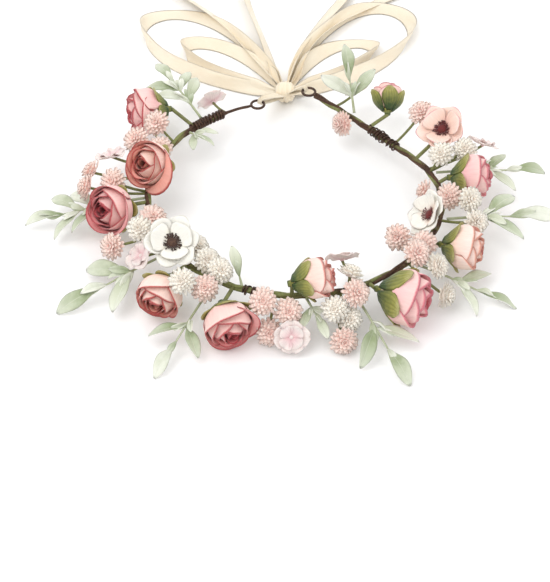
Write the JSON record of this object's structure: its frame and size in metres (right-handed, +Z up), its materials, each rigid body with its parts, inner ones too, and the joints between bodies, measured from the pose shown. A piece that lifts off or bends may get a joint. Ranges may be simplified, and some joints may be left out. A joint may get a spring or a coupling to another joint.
{
  "type": "flower crown",
  "caption": "Open hoop of paper-wrapped wire with wired fabric roses, anemones, pompom mums, florets and leaf sprigs, closed at the back by a satin ribbon bow.",
  "frame": {"origin": "centre of the hoop, in the plane of its centreline", "axes": "+Z up out of the hoop, +Y to the bow at the back, +X to the right seen from the front"},
  "size_m": [0.307, 0.3994, 0.0476],
  "materials": {
    "steel_wire": "drawn wire, matt",
    "paper_wrap": "dark brown floral paper tape",
    "binding_wire": "dark brown lacquer, satin",
    "stem": "olive green, matt",
    "pink_mum": "pale pink shaved-wood paper petals",
    "white_mum": "cream-white shaved-wood paper petals",
    "blush_petal": "sheer blush silk",
    "rose_petal": "peach to pink dyed silk with dark red edges",
    "calyx": "moulded, dark green to olive",
    "white_petal": "white silk",
    "cream_petal": "cream silk",
    "stamen": "dark brown flock",
    "leaf": "sage green with a pale velvet underside",
    "satin_ribbon": "cream satin"
  },
  "bodies": {
    "right_band": {"binding_wire_right": "binding_wire", "blush_anemone_centre": "stamen", "blush_anemone_petals": "blush_petal", "blush_florets_right": "blush_petal", "bow_knot": "satin_ribbon", "core_wire_right": "steel_wire", "cream_blossom_centre": "stamen", "cream_blossom_petals": "cream_petal", "flower_stems_right": "stem", "paper_wrap_right": "paper_wrap", "pink_pompoms_right": "pink_mum", "ribbon_hitch_left": "satin_ribbon", "ribbon_hitch_right": "satin_ribbon", "rose_6_calyx": "calyx", "rose_6_petals": "rose_petal", "sprig_7": "leaf", "sprig_8": "leaf", "sprig_9": "leaf", "white_pompoms_right": "white_mum"},
    "left_band": {"binding_wire_front": "binding_wire", "binding_wire_left": "binding_wire", "blush_florets_left": "blush_petal", "core_wire_left": "steel_wire", "flower_stems_left": "stem", "paper_wrap_left": "paper_wrap", "pink_pompoms_left": "pink_mum", "rose_2_calyx": "calyx", "rose_2_petals": "rose_petal", "rose_3_calyx": "calyx", "rose_3_petals": "rose_petal", "rose_5_calyx": "calyx", "rose_5_petals": "rose_petal", "sprig_2": "leaf", "sprig_3": "leaf", "sprig_4": "leaf", "sprig_5": "leaf", "sprig_6": "leaf", "white_anemone_centre": "stamen", "white_anemone_petals": "white_petal", "white_pompoms_left": "white_mum"},
    "bow": {"bow_loops_left": "satin_ribbon", "bow_loops_right": "satin_ribbon", "ribbon_tails_left": "satin_ribbon", "ribbon_tails_right": "satin_ribbon"},
    "rose_10_head": {"rose_10_calyx": "calyx", "rose_10_petals": "rose_petal"},
    "rose_1_head": {"rose_1_calyx": "calyx", "rose_1_petals": "rose_petal"},
    "rose_4_head": {"rose_4_calyx": "calyx", "rose_4_petals": "rose_petal"},
    "rose_7_head": {"rose_7_calyx": "calyx", "rose_7_petals": "rose_petal"},
    "rose_8_head": {"rose_8_calyx": "calyx", "rose_8_petals": "rose_petal"},
    "rose_9_head": {"rose_9_calyx": "calyx", "rose_9_petals": "rose_petal"},
    "sprig_1_spray": {"sprig_1": "leaf"},
    "sprig_10_spray": {"sprig_10": "leaf"},
    "sprig_11_spray": {"sprig_11": "leaf"},
    "sprig_12_spray": {"sprig_12": "leaf"}
  },
  "joints": [
    {"name": "hoop_flex", "type": "hinge", "parent": "right_band", "child": "left_band", "pos_m": [-0.00889, -0.08453, 0], "axis": [0, 0, 1], "range_deg": [-5, 3], "stiffness_Nm_per_rad": 0.3, "deforming": ["ribbon_hitch_left"]},
    {"name": "rose_1_nod", "type": "hinge", "parent": "left_band", "child": "rose_1_head", "pos_m": [-0.07601, 0.07306, 0.00282], "axis": [-0.2588, 0.9659, 0], "range_deg": [-12, 12]},
    {"name": "rose_4_nod", "type": "hinge", "parent": "left_band", "child": "rose_4_head", "pos_m": [-0.0672, -0.07042, 0.0001], "axis": [-0.9397, 0.342, 0], "range_deg": [-6, 8]},
    {"name": "rose_7_nod", "type": "hinge", "parent": "right_band", "child": "rose_7_head", "pos_m": [0.04392, -0.08047, 0.002], "axis": [-0.3746, -0.9272, 0], "range_deg": [-6, 12]},
    {"name": "rose_8_nod", "type": "hinge", "parent": "right_band", "child": "rose_8_head", "pos_m": [0.08836, 0.01052, 0.00337], "axis": [-0.1392, -0.9903, 0], "range_deg": [-12, 12]},
    {"name": "rose_9_nod", "type": "hinge", "parent": "right_band", "child": "rose_9_head", "pos_m": [0.08008, -0.04476, 0.0019], "axis": [-0.2588, -0.9659, 0], "range_deg": [-2, 12]},
    {"name": "rose_10_nod", "type": "hinge", "parent": "right_band", "child": "rose_10_head", "pos_m": [0.05591, 0.07167, 0.00103], "axis": [0.9994, -0.0349, 0], "range_deg": [-10, 12]},
    {"name": "sprig_1_bend", "type": "hinge", "parent": "left_band", "child": "sprig_1_spray", "pos_m": [-0.05794, 0.0675, 0.00056], "axis": [0.8387, 0.5446, 0], "range_deg": [-3, 12]},
    {"name": "sprig_10_bend", "type": "hinge", "parent": "right_band", "child": "sprig_10_spray", "pos_m": [0.08628, -0.02185, 0.00015], "axis": [0.0349, -0.9994, 0], "range_deg": [-8, 12]},
    {"name": "sprig_11_bend", "type": "hinge", "parent": "right_band", "child": "sprig_11_spray", "pos_m": [0.08278, 0.01923, -0.00021], "axis": [0.1219, -0.9925, 0], "range_deg": [-8, 5]},
    {"name": "sprig_12_bend", "type": "hinge", "parent": "right_band", "child": "sprig_12_spray", "pos_m": [0.03552, 0.07096, 0.00286], "axis": [0.9848, 0.1736, 0], "range_deg": [-12, 12]},
    {"name": "bow_lift", "type": "hinge", "parent": "right_band", "child": "bow", "pos_m": [-0.007, 0.109, -0.0117], "axis": [1, 0, 0], "range_deg": [0, 35]}
  ]
}
